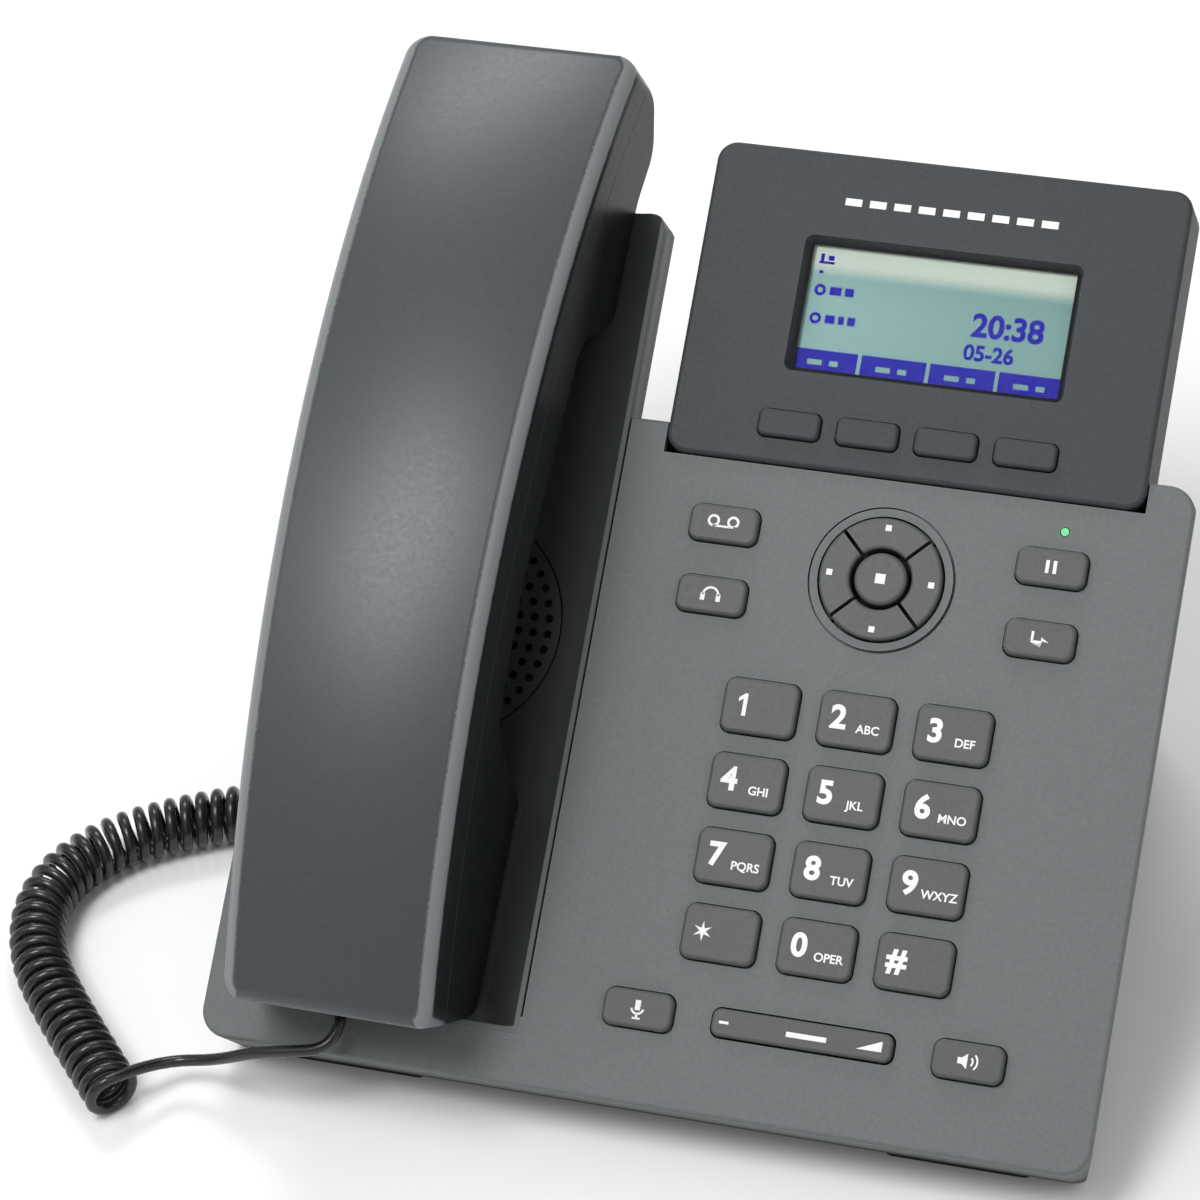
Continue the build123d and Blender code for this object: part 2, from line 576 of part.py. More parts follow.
# ---- the whole phone -------------------------------------------------------------------------------
def panel_parts():
    """Every part drawn in the panel frame."""
    parts = {
        "front_cover": front_cover(), "cradle": cradle(), "cover_screws": cover_screws(),
        "display_bezel": display_bezel(), "display_rear_cover": display_rear_cover(),
        "lcd_lens": lcd_lens(), "lcd_module": lcd_module(),
        "nav_ok": nav_ok(), "volume_rocker": volume_rocker(), "status_light": status_light(),
        "keypad_board": keypad_board(), "keypad_mat": keypad_mat(), "main_board": main_board(),
        "network_jacks": network_jacks(), "audio_jacks": audio_jacks(), "power_jack": power_jack(),
        "speaker_grille": speaker_grille(), "loudspeaker": loudspeaker(), "microphone": microphone(),
        "hook_plunger": hook_plunger(),
        "handset_back_shell": handset_back_shell(), "handset_face_shell": handset_face_shell(),
        "handset_earpiece": handset_earpiece(), "handset_microphone": handset_microphone(),
        "handset_weight": handset_weight(), "handset_socket": handset_socket(),
        "handset_plug": plug(SOCKET_X, (PLUG_END, 21.0), SOCKET_Z),
        "base_plug": plug(RJ9_X[0], (BASE_PLUG_END, BASE_PLUG_END + 12.0), BASE_PLUG_Z),
    }
    for name, centre, size in key_places():
        parts[name] = key(centre, size)
    for index, x in enumerate(SOFT_KEY_X):
        parts[f"soft_key_{index + 1}"] = key((x, SOFT_KEY_Y), SOFT_KEY_SIZE, 1.4, 2.6, -1.6, 0.9)
    for name, angle in (("nav_right", 0), ("nav_up", 90), ("nav_left", 180), ("nav_down", 270)):
        parts[name] = nav_key(angle)
    return {name: PANEL.location * part for name, part in parts.items()}


def desk_parts():
    """Every part drawn in the desk frame."""
    return {
        "rear_cover": rear_cover(), "foot_stand": foot_stand(), "rubber_feet": rubber_feet(),
        "handset_lead": cord_tube("handset_lead", LEAD_ROUTE, WIRE),
        "curly_cord": cord_tube("curly_cord", COIL_ROUTE, COIL),
        "base_lead": cord_tube("base_lead", BASE_LEAD_ROUTE, WIRE),
    }


os.makedirs("parts", exist_ok=True)
for node, shape in {**panel_parts(), **desk_parts()}.items():
    export_step(shape, f"parts/{node}.step")
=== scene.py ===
import json
import math

import bpy
from mathutils import Matrix, Vector


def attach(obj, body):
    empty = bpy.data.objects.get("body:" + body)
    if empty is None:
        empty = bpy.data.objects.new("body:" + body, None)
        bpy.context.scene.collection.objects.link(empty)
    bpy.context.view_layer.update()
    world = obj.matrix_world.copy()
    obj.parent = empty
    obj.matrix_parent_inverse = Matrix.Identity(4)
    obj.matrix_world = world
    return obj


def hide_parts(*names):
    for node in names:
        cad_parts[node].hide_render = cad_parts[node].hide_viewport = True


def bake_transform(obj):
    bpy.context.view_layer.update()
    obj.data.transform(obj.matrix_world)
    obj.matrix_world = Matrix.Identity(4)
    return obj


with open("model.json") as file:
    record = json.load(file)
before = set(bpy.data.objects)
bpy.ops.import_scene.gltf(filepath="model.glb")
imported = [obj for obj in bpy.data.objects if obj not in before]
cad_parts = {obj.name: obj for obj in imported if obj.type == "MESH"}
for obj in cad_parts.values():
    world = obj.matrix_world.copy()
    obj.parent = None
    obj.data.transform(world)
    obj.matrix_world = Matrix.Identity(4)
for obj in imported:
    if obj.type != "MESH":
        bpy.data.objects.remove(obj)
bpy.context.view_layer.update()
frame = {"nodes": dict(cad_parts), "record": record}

# ---- sizes and places, metres ------------------------------------------------------------
MM = 0.001
TILT = math.radians(35.0)                 # slope of the phone's panel
PANEL = Matrix.Rotation(TILT, 4, "X")     # panel frame: X right, Y up the slope, Z out of it
UP = Vector((0, 0, 1))
PRINT = 0.06 * MM                         # thickness of a printed mark
PRINT_LIFT = 0.02 * MM                    # how far a mark stands off what it is printed on

CAMERA_AT = Vector((0.2089, -0.6482, 0.7175))
CAMERA_AIM = Vector((-0.0249, 0.0016, 0.0706))
CAMERA_ROLL = math.radians(-5.96)
CAMERA_LENS = 142.1                       # millimetres, as is the sensor
CAMERA_SENSOR = 36.0
CAMERA_CLIP = 0.05

WIRE = 2.4 * MM
WIRE_SIDES = 12
COIL_MEAN_RADIUS = 4.87 * MM              # to the middle of the wire
COIL_PITCH = 3.3 * MM
COIL_LINE_STEPS = 40
TURN_POINTS = 16
PATH_STEPS = 3

BASE = "base"

# control points of the cord's route, metres
LEAD_ROUTE = [
    (-0.0594, -0.0760, 0.0255), (-0.0594, -0.0800, 0.0227), (-0.0620, -0.0832, 0.0209),
    (-0.0682, -0.0836, 0.0194), (-0.0760, -0.0834, 0.0170), (-0.0830, -0.0822, 0.0124),
    (-0.0890, -0.0804, 0.0082), (-0.0956, -0.0804, 0.0066), (-0.1010, -0.0854, 0.0088),
]
COIL_ROUTE = [
    (-0.1050, -0.0912, 0.0060), (-0.1210, -0.0747, 0.0060), (-0.1345, -0.0587, 0.0060),
    (-0.1388, -0.0417, 0.0060), (-0.1312, -0.0262, 0.0060), (-0.1142, -0.0150, 0.0060),
    (-0.0932, -0.0066, 0.0060), (-0.0724, -0.0030, 0.0060), (-0.0524, -0.0052, 0.0060),
]
BASE_LEAD_ROUTE = [
    (-0.0446, -0.0068, 0.0076), (-0.0382, -0.0070, 0.0136), (-0.0350, -0.0040, 0.0220),
    (-0.0346, 0.0004, 0.0310), (-0.0349, 0.0040, 0.0390), (-0.0349, 0.0094, 0.0450),
]


# ---- camera ------------------------------------------------------------------------------
def make_camera():
    data = bpy.data.cameras.new("camera")
    data.lens = CAMERA_LENS
    data.sensor_width = CAMERA_SENSOR
    data.clip_start = CAMERA_CLIP
    camera = bpy.data.objects.new("camera", data)
    bpy.context.scene.collection.objects.link(camera)
    look = (CAMERA_AIM - CAMERA_AT).to_track_quat("-Z", "Y").to_matrix().to_4x4()
    roll = Matrix.Rotation(CAMERA_ROLL, 4, "Z")
    camera.matrix_world = Matrix.Translation(CAMERA_AT) @ look @ roll
    bpy.context.scene.camera = camera


make_camera()


# ---- small tools -------------------------------------------------------------------------
def add_object(name, data):
    piece = bpy.data.objects.new(name, data)
    bpy.context.scene.collection.objects.link(piece)
    return piece


def panel_box(node):
    """Lowest and highest corner of a CAD node in the panel frame."""
    to_panel = PANEL.inverted()
    points = [to_panel @ vertex.co for vertex in frame["nodes"][node].data.vertices]
    low = Vector([min(point[axis] for point in points) for axis in range(3)])
    high = Vector([max(point[axis] for point in points) for axis in range(3)])
    return low, high


def spline_points(route, steps):
    """Points along the smooth NURBS line of a route, read back from Blender."""
    curve = bpy.data.curves.new("route", "CURVE")
    curve.dimensions = "3D"
    curve.resolution_u = steps
    spline = curve.splines.new("NURBS")
    spline.points.add(len(route) - 1)
    for point, place in zip(spline.points, route):
        point.co = (*place, 1.0)
    spline.order_u = 3
    spline.use_endpoint_u = True
    line = add_object("route", curve)
    mesh = bpy.data.meshes.new_from_object(line)
    points = [vertex.co.copy() for vertex in mesh.vertices]
    bpy.data.objects.remove(line)
    bpy.data.curves.remove(curve)
    bpy.data.meshes.remove(mesh)
    return points


def evenly(points, step):
    """The same line with its points a given step apart."""
    even = [points[0]]
    travelled = 0.0
    wanted = step
    for before, after in zip(points, points[1:]):
        run = (after - before).length
        while run > 0 and travelled + run >= wanted:
            even.append(before.lerp(after, (wanted - travelled) / run))
            wanted += step
        travelled += run
    return even


def line_length(points):
    return sum((after - before).length for before, after in zip(points, points[1:]))


# ---- handset cord ------------------------------------------------------------------------
def helix_points(centre_line, radius, pitch, per_turn):
    """Turns round a level centre line, starting on top of it."""
    step = pitch / per_turn
    centres = evenly(centre_line, step)
    places = []
    for index, centre in enumerate(centres[:-1]):
        along = (centres[index + 1] - centre).normalized()
        side = along.cross(UP)
        turn = 2 * math.pi * index / per_turn
        places.append(centre + radius * (math.cos(turn) * UP - math.sin(turn) * side))
    return places


def tube_mesh(name, path, radius, sides):
    """A round tube that follows a path without twisting."""
    vertices = []
    faces = []
    along = (path[1] - path[0]).normalized()
    across = along.orthogonal().normalized()
    for index, centre in enumerate(path):
        before = path[max(index - 1, 0)]
        after = path[min(index + 1, len(path) - 1)]
        along = (after - before).normalized()
        across = (across - across.dot(along) * along).normalized()
        up = along.cross(across)
        for corner in range(sides):
            angle = 2 * math.pi * corner / sides
            vertices.append(centre + radius * (math.cos(angle) * across + math.sin(angle) * up))
    for ring in range(len(path) - 1):
        for corner in range(sides):
            following = (corner + 1) % sides
            first, second = ring * sides, (ring + 1) * sides
            faces.append((first + corner, first + following, second + following, second + corner))
    faces.append(tuple(reversed(range(sides))))
    faces.append(tuple(range((len(path) - 1) * sides, len(path) * sides)))
    mesh = bpy.data.meshes.new(name)
    mesh.from_pydata(vertices, [], faces)
    mesh.polygons.foreach_set("use_smooth", [True] * len(mesh.polygons))
    mesh.update()
    return mesh


def make_cord():
    """The handset cord: a straight lead, the curled stretch and a short lead to the base's jack."""
    coil_line = spline_points(COIL_ROUTE, COIL_LINE_STEPS)
    turns = helix_points(coil_line, COIL_MEAN_RADIUS, COIL_PITCH, TURN_POINTS)
    path = spline_points(LEAD_ROUTE + turns + BASE_LEAD_ROUTE, PATH_STEPS)
    cord = add_object("handset_cord", tube_mesh("handset_cord", path, WIRE / 2, WIRE_SIDES))
    print("cord length", round(line_length(path), 4))
    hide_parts("handset_lead", "curly_cord", "base_lead")
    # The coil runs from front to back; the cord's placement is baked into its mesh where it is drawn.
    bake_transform(cord)
    return cord


cord = make_cord()


# ---- materials ---------------------------------------------------------------------------
PANEL_GREY = (0.124, 0.134, 0.137)
RIM_PAINTED_HIGHLIGHT = (0.175, 0.189, 0.194)    # painted highlight: the handset's bevelled rim is coloured lighter, as if it caught the light
WALL_PAINTED_SHADE = (0.012, 0.014, 0.015)   # painted shade: the handset's side walls are coloured darker, as if in shade
WALL_GLOSS = 0.08
RIM_FACING = (0.12, 0.28)           # where the painted rim highlight sets in, as the sideways part of the normal
WALL_FACING = (0.88, 0.96)          # where the painted wall shade sets in
CROWN_RADIUS = 0.12                 # of the handset's domed back, metres

NOISE_LOW, NOISE_HIGH = 0.3, 0.7    # Blender's noise seldom leaves this range
PATCH_SCALE = 1300.0                # speckle, features per metre
GLOSS_SCALE = 1100.0
GLOSS_SPREAD = 0.03
SCRATCH_SCALE = 900.0
INK_GLOSS = 0.1


def new_material(name):
    material = bpy.data.materials.new(name)
    material.use_nodes = True
    tree = material.node_tree
    return material, tree, tree.nodes["Principled BSDF"]


def noise(tree, scale, detail=2.0):
    """Noise fixed to the object, with its scale in features per metre."""
    place = tree.nodes.new("ShaderNodeTexCoord")
    texture = tree.nodes.new("ShaderNodeTexNoise")
    texture.inputs["Scale"].default_value = scale
    texture.inputs["Detail"].default_value = detail
    tree.links.new(place.outputs["Object"], texture.inputs["Vector"])
    return texture.outputs["Fac"]


def spread(tree, value, low, high):
    """A noise value stretched to the range low to high."""
    stretch = tree.nodes.new("ShaderNodeMapRange")
    stretch.inputs["From Min"].default_value = NOISE_LOW
    stretch.inputs["From Max"].default_value = NOISE_HIGH
    stretch.inputs["To Min"].default_value = low
    stretch.inputs["To Max"].default_value = high
    tree.links.new(value, stretch.inputs["Value"])
    return stretch.outputs["Result"]


def socket_called(sockets, identifier):
    return next(socket for socket in sockets if socket.identifier == identifier)


def mix_colours(tree, share, first, second):
    """The first colour where share is 0, the second where it is 1."""
    mixer = tree.nodes.new("ShaderNodeMix")
    mixer.data_type = "RGBA"
    for identifier, colour in (("A_Color", first), ("B_Color", second)):
        target = socket_called(mixer.inputs, identifier)
        if isinstance(colour, tuple):
            target.default_value = (*colour, 1.0)
        else:
            tree.links.new(colour, target)
    tree.links.new(share, socket_called(mixer.inputs, "Factor_Float"))
    return socket_called(mixer.outputs, "Result_Color")


def math_node(tree, operation, first, second=None):
    """A Math node of one or two inputs; the second is a socket or a number."""
    node = tree.nodes.new("ShaderNodeMath")
    node.operation = operation
    tree.links.new(first, node.inputs[0])
    if isinstance(second, float):
        node.inputs[1].default_value = second
    elif second is not None:
        tree.links.new(second, node.inputs[1])
    return node


def edge_share(tree, radius):
    """1 on edges sharper than a radius, 0 on flat faces."""
    rounded = tree.nodes.new("ShaderNodeBevel")
    rounded.samples = 4
    rounded.inputs["Radius"].default_value = radius
    flat = tree.nodes.new("ShaderNodeNewGeometry")
    compare = tree.nodes.new("ShaderNodeVectorMath")
    compare.operation = "DOT_PRODUCT"
    tree.links.new(rounded.outputs["Normal"], compare.inputs[0])
    tree.links.new(flat.outputs["Normal"], compare.inputs[1])
    share = tree.nodes.new("ShaderNodeMapRange")
    share.inputs["From Min"].default_value = 1.0
    share.inputs["From Max"].default_value = 0.8
    tree.links.new(compare.outputs["Value"], share.inputs["Value"])
    return share.outputs["Result"]


def add_bump(tree, shader, value, distance):
    bump = tree.nodes.new("ShaderNodeBump")
    bump.inputs["Strength"].default_value = 1.0
    bump.inputs["Distance"].default_value = distance
    tree.links.new(value, bump.inputs["Height"])
    tree.links.new(bump.outputs["Normal"], shader.inputs["Normal"])
    return bump


def scaled(colour, factor):
    return tuple(min(1.0, channel * factor) for channel in colour)


def moulded(name, colour, roughness, grain=2200.0, depth=0.03 * MM, speckle=0.07, worn=1.5,
            edge=0.35 * MM, gloss=0.25, fade=None, crown=None, sides=None):
    """Injection-moulded plastic: fine spark texture, faint speckle and edges rubbed lighter.

    fade gives a share of the panel's grey over a painted shade, crown a height, and sides the shares of
    a painted rim highlight and a painted wall shade."""
    material, tree, shader = new_material(name)
    if fade:
        body = mix_colours(tree, fade(tree), colour, PANEL_GREY)
    else:
        patches = spread(tree, noise(tree, PATCH_SCALE, 3.0), 0.0, 1.0)
        body = mix_colours(tree, patches, scaled(colour, 1 - speckle), scaled(colour, 1 + speckle))
    surface = mix_colours(tree, edge_share(tree, edge), body, scaled(colour, worn))
    shader.inputs["Specular IOR Level"].default_value = gloss
    if sides:
        # Painted highlight and shade: the rim is coloured lighter and the side walls darker, by how far
        # they face sideways.
        rim, wall = sides(tree)
        surface = mix_colours(tree, rim, surface, RIM_PAINTED_HIGHLIGHT)
        surface = mix_colours(tree, wall, surface, WALL_PAINTED_SHADE)
        tree.links.new(spread(tree, wall, gloss, WALL_GLOSS), shader.inputs["Specular IOR Level"])
    tree.links.new(surface, shader.inputs["Base Color"])
    dull = spread(tree, noise(tree, GLOSS_SCALE, 3.0),
                  roughness - GLOSS_SPREAD, roughness + GLOSS_SPREAD)
    tree.links.new(dull, shader.inputs["Roughness"])
    textured = add_bump(tree, shader, noise(tree, grain, 3.0), depth)
    if crown:
        arched = tree.nodes.new("ShaderNodeBump")
        arched.inputs["Distance"].default_value = 1.0
        tree.links.new(crown(tree), arched.inputs["Height"])
        tree.links.new(arched.outputs["Normal"], textured.inputs["Normal"])
    return material


def handset_crown(tree):
    """Height of the handset's slightly domed back, which falls away to both sides."""
    low, high = panel_box("handset_back_shell")
    place = tree.nodes.new("ShaderNodeTexCoord")
    axes = tree.nodes.new("ShaderNodeSeparateXYZ")
    tree.links.new(place.outputs["Object"], axes.inputs["Vector"])
    off_centre = math_node(tree, "SUBTRACT", axes.outputs["X"], (low.x + high.x) / 2)
    square = math_node(tree, "MULTIPLY", off_centre.outputs["Value"], off_centre.outputs["Value"])
    height = math_node(tree, "MULTIPLY", square.outputs["Value"], -1 / (2 * CROWN_RADIUS))
    return height.outputs["Value"]


def handset_rim_highlight_and_wall_shade(tree):
    """Shares of the painted rim highlight and the painted wall shade on the handset, from how far it
    faces sideways.
    """
    place = tree.nodes.new("ShaderNodeTexCoord")
    axes = tree.nodes.new("ShaderNodeSeparateXYZ")
    tree.links.new(place.outputs["Normal"], axes.inputs["Vector"])
    sideways = math_node(tree, "ABSOLUTE", axes.outputs["X"]).outputs["Value"]
    wall = ramp(tree, sideways, *WALL_FACING)
    rim = math_node(tree, "SUBTRACT", ramp(tree, sideways, *RIM_FACING), wall)
    rim.use_clamp = True
    return rim.outputs["Value"], wall


def panel_axes(tree):
    """The object's place in the panel frame, as separate X, Y and Z."""
    place = tree.nodes.new("ShaderNodeTexCoord")
    turn = tree.nodes.new("ShaderNodeMapping")
    turn.inputs["Rotation"].default_value = (-TILT, 0, 0)
    tree.links.new(place.outputs["Object"], turn.inputs["Vector"])
    axes = tree.nodes.new("ShaderNodeSeparateXYZ")
    tree.links.new(turn.outputs["Vector"], axes.inputs["Vector"])
    return axes


def ramp(tree, value, start, end):
    """0 at start, 1 at end, smooth between."""
    slope = tree.nodes.new("ShaderNodeMapRange")
    slope.interpolation_type = "SMOOTHSTEP"
    slope.inputs["From Min"].default_value = start
    slope.inputs["From Max"].default_value = end
    tree.links.new(value, slope.inputs["Value"])
    return slope.outputs["Result"]


def cradle_painted_shade(tree):
    """Painted shade: the cradle is coloured near black in its trough, where the handset's shadow falls,
    and turns to the panel's grey towards its right lip and lower end.
    """
    low, high = panel_box("cradle")
    axes = panel_axes(tree)
    right = ramp(tree, axes.outputs["X"], high.x - 15 * MM, high.x + 2 * MM)
    lower = ramp(tree, axes.outputs["Y"], low.y + 11 * MM, low.y - 2 * MM)
    return math_node(tree, "MAXIMUM", right, lower).outputs["Value"]


def polished(name, colour, roughness):
    """Smooth plastic with faint handling marks in its gloss."""
    material, tree, shader = new_material(name)
    broad = spread(tree, noise(tree, 70.0), 0.0, 1.0)
    tinted = mix_colours(tree, broad, scaled(colour, 0.9), scaled(colour, 1.1))
    tree.links.new(tinted, shader.inputs["Base Color"])
    marks = spread(tree, noise(tree, SCRATCH_SCALE, 4.0), roughness, roughness + 0.12)
    tree.links.new(marks, shader.inputs["Roughness"])
    add_bump(tree, shader, noise(tree, 500.0), 0.01 * MM)
    return material


def metal(name, colour, roughness):
    """Bare metal with uneven colour and gloss."""
    material, tree, shader = new_material(name)
    shader.inputs["Metallic"].default_value = 1.0
    broad = spread(tree, noise(tree, 900.0, 4.0), 0.0, 1.0)
    tinted = mix_colours(tree, broad, scaled(colour, 0.8), scaled(colour, 1.1))
    tree.links.new(tinted, shader.inputs["Base Color"])
    dull = spread(tree, noise(tree, 1500.0), roughness - 0.1, roughness + 0.1)
    tree.links.new(dull, shader.inputs["Roughness"])
    return material


def print_ink(name, colour):
    """Screen-printed ink, a little uneven."""
    material, tree, shader = new_material(name)
    patch = spread(tree, noise(tree, 1400.0, 3.0), 0.0, 1.0)
    tree.links.new(mix_colours(tree, patch, scaled(colour, 0.86), colour), shader.inputs["Base Color"])
    tree.links.new(spread(tree, noise(tree, 900.0), 0.45, 0.6), shader.inputs["Roughness"])
    shader.inputs["Specular IOR Level"].default_value = INK_GLOSS
    return material


def lcd_glass(name):
    """A reflective liquid crystal panel: cyan green, paler along its top and its left side."""
    material, tree, shader = new_material(name)
    low, high = panel_box("lcd_lens")
    axes = panel_axes(tree)
    top = ramp(tree, axes.outputs["Y"], high.y - 9.5 * MM, high.y - 6 * MM)
    left = ramp(tree, axes.outputs["X"], high.x - 10 * MM, low.x)
    body = mix_colours(tree, left, (0.20, 0.37, 0.35), (0.26, 0.45, 0.43))
    banded = mix_colours(tree, top, body, (0.62, 0.72, 0.62))
    cells = spread(tree, noise(tree, 2600.0, 2.0), 0.0, 0.12)
    tree.links.new(mix_colours(tree, cells, banded, (0.12, 0.25, 0.27)), shader.inputs["Base Color"])
    shader.inputs["Specular IOR Level"].default_value = INK_GLOSS
    tree.links.new(spread(tree, noise(tree, 3000.0), 0.35, 0.45), shader.inputs["Roughness"])
    return material


def clear_window(name):
    """A clear cover: nearly all light passes, and the rest shows as a faint haze and gloss."""
    material, tree, shader = new_material(name)
    haze = spread(tree, noise(tree, 260.0, 3.0), 0.0, 1.0)
    tinted = mix_colours(tree, haze, (0.02, 0.03, 0.03), (0.05, 0.06, 0.06))
    tree.links.new(tinted, shader.inputs["Base Color"])
    tree.links.new(spread(tree, noise(tree, 60.0), 0.04, 0.09), shader.inputs["Roughness"])
    shader.inputs["Alpha"].default_value = 0.06
    shader.inputs["Specular IOR Level"].default_value = 0.2
    return material


def glowing(name, colour, strength):
    """A small lamp's diffuser."""
    material, tree, shader = new_material(name)
    patch = spread(tree, noise(tree, 1500.0), 0.0, 1.0)
    tree.links.new(mix_colours(tree, patch, scaled(colour, 0.8), colour), shader.inputs["Base Color"])
    shader.inputs["Emission Color"].default_value = (*colour, 1.0)
    shader.inputs["Emission Strength"].default_value = strength
    shader.inputs["Roughness"].default_value = 0.3
    return material


MATERIALS = {
    "panel_plastic": moulded("panel_plastic", PANEL_GREY, 0.52),
    "key_plastic": moulded("key_plastic", (0.078, 0.081, 0.083), 0.45, depth=0.012 * MM, worn=1.6),
    # Painted shade: the cradle's near-black colour stands in for the shadow under the handset and fades
    # to the panel's grey at its edges.
    "cradle_plastic": moulded("cradle_plastic", (0.012, 0.014, 0.015), 0.55, worn=1.2,
                              fade=cradle_painted_shade),
    "rear_plastic": moulded("rear_plastic", (0.055, 0.058, 0.060), 0.55, grain=1600.0,
                            depth=0.05 * MM),
    "display_plastic": moulded("display_plastic", (0.043, 0.048, 0.051), 0.5, gloss=0.18),
    "handset_plastic": moulded("handset_plastic", (0.044, 0.053, 0.057), 0.36, depth=0.012 * MM,
                               worn=2.0, edge=1.2 * MM, gloss=0.4, crown=handset_crown,
                               sides=handset_rim_highlight_and_wall_shade),
    "jack_plastic": moulded("jack_plastic", (0.018, 0.018, 0.020), 0.4, worn=1.5),
    "foot_rubber": moulded("foot_rubber", (0.016, 0.016, 0.017), 0.8, grain=1300.0,
                           depth=0.08 * MM),
    # Painted shade: the keypad's silicone is coloured near black so that, seen through the gaps, it
    # gives dark shadow lines round the keys.
    "silicone": moulded("silicone", (0.03, 0.03, 0.03), 0.6),
    "speaker_cone": moulded("speaker_cone", (0.02, 0.02, 0.02), 0.7, grain=900.0),
    "circuit_board": polished("circuit_board", (0.015, 0.10, 0.04), 0.3),
    "cord_black": polished("cord_black", (0.012, 0.012, 0.013), 0.2),
    "plug_clear": polished("plug_clear", (0.03, 0.03, 0.032), 0.12),
    "screw_steel": metal("screw_steel", (0.55, 0.55, 0.57), 0.35),
    "weight_steel": metal("weight_steel", (0.35, 0.35, 0.36), 0.5),
    "lcd": lcd_glass("lcd"),
    "lens_clear": clear_window("lens_clear"),
    "light_green": glowing("light_green", (0.05, 0.45, 0.14), 0.35),
}
WHITE_INK = print_ink("white_ink", (0.85, 0.86, 0.86))
LCD_INK = print_ink("lcd_ink", (0.0, 0.0, 0.42))
BLACK_INK = print_ink("black_ink", (0.006, 0.007, 0.007))
GOLD = metal("contact_gold", (0.85, 0.62, 0.28), 0.3)


def dress_cad_nodes():
    """Gives every CAD node the material of its slot."""
    for part in frame["record"]["subparts"]:
        node = frame["nodes"][part["node"]]
        node.data.materials.clear()
        node.data.materials.append(MATERIALS[part["material_slot"]])


dress_cad_nodes()
cord.data.materials.append(MATERIALS["cord_black"])


# ---- printed marks -----------------------------------------------------------------------
def settle(piece, at, body, material):
    """Turns a flat curve into a mesh lying on the panel at a place in the panel frame."""
    mesh = bpy.data.meshes.new_from_object(piece)
    name = piece.name
    bpy.data.objects.remove(piece)
    mesh.transform(PANEL @ Matrix.Translation(at))
    mesh.materials.clear()
    mesh.materials.append(material)
    mark = add_object(name, mesh)
    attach(mark, body)


def write(name, text, size, at, body, material=WHITE_INK, weight=0.02):
    """A generic digit or letters, printed; weight fattens the strokes, as a share of the size."""
    curve = bpy.data.curves.new(name, "FONT")
    curve.body = text
    curve.size = size
    curve.offset = weight * size
    curve.align_x = "CENTER"
    curve.align_y = "CENTER"
    curve.extrude = PRINT / 2
    curve.resolution_u = 4
    settle(add_object(name, curve), at, body, material)


def stamp(name, outlines, at, body, material=WHITE_INK):
    """A mark made of closed outlines in millimetres; an outline inside another is a hole."""
    curve = bpy.data.curves.new(name, "CURVE")
    curve.dimensions = "2D"
    curve.fill_mode = "BOTH"
    curve.extrude = PRINT / 2
    for outline in outlines:
        spline = curve.splines.new("POLY")
        spline.points.add(len(outline) - 1)
        spline.use_cyclic_u = True
        for point, (x, y) in zip(spline.points, outline):
            point.co = (x * MM, y * MM, 0, 1)
    settle(add_object(name, curve), at, body, material)


# The outlines of a mark are in millimetres from its middle.
def bar(x, y, width, height):
    return [(x - width / 2, y - height / 2), (x + width / 2, y - height / 2),
            (x + width / 2, y + height / 2), (x - width / 2, y + height / 2)]


def ring_arc(x, y, inner, outer, start=0.0, end=360.0, steps=24):
    """A band between two circles, over an angle in degrees."""
    angles = [math.radians(start + (end - start) * step / steps) for step in range(steps + 1)]
    far = [(x + outer * math.cos(a), y + outer * math.sin(a)) for a in angles]
    near = [(x + inner * math.cos(a), y + inner * math.sin(a)) for a in reversed(angles)]
    return far + near


def circle(x, y, radius, steps=24):
    angles = [2 * math.pi * step / steps for step in range(steps)]
    return [(x + radius * math.cos(a), y + radius * math.sin(a)) for a in angles]


def key_top(node):
    """Middle of a key's top, in the panel frame, just above the plastic."""
    low, high = panel_box(node)
    return Vector(((low.x + high.x) / 2, (low.y + high.y) / 2, high.z + PRINT_LIFT))


DIAL = {
    "1": "", "2": "ABC", "3": "DEF", "4": "GHI", "5": "JKL", "6": "MNO",
    "7": "PQRS", "8": "TUV", "9": "WXYZ", "star": "", "0": "OPER", "hash": "",
}
DIGIT_AT = Vector((-3.4, 0.1, 0)) * MM      # from the middle of the key
LETTERS_AT = Vector((2.7, -1.6, 0)) * MM
DIGIT_SIZE = 6.4 * MM
LETTER_SIZE = 2.4 * MM
# The font's own 1 and asterisk read badly at this size.
ONE = [(-0.9, 1.3), (0.25, 2.25), (0.85, 2.25), (0.85, -2.25), (0.05, -2.25), (0.05, 1.15), (-0.9, 0.5)]
STAR = [(radius * math.sin(math.radians(30 * step)), radius * math.cos(math.radians(30 * step)))
        for step, radius in enumerate((2.0, 0.65) * 6)]


def print_dial():
    for name, letters in DIAL.items():
        node = "key_" + name
        top = key_top(node)
        at = top + DIGIT_AT
        if name == "1":
            stamp("digit_1", [ONE], at, node)
        elif name == "star":
            stamp("digit_star", [STAR], at, node)
        else:
            text = "#" if name == "hash" else name
            write(f"digit_{name}", text, DIGIT_SIZE, at, node, weight=0.035)
        if letters:
            write(f"letters_{name}", letters, LETTER_SIZE, top + LETTERS_AT, node)


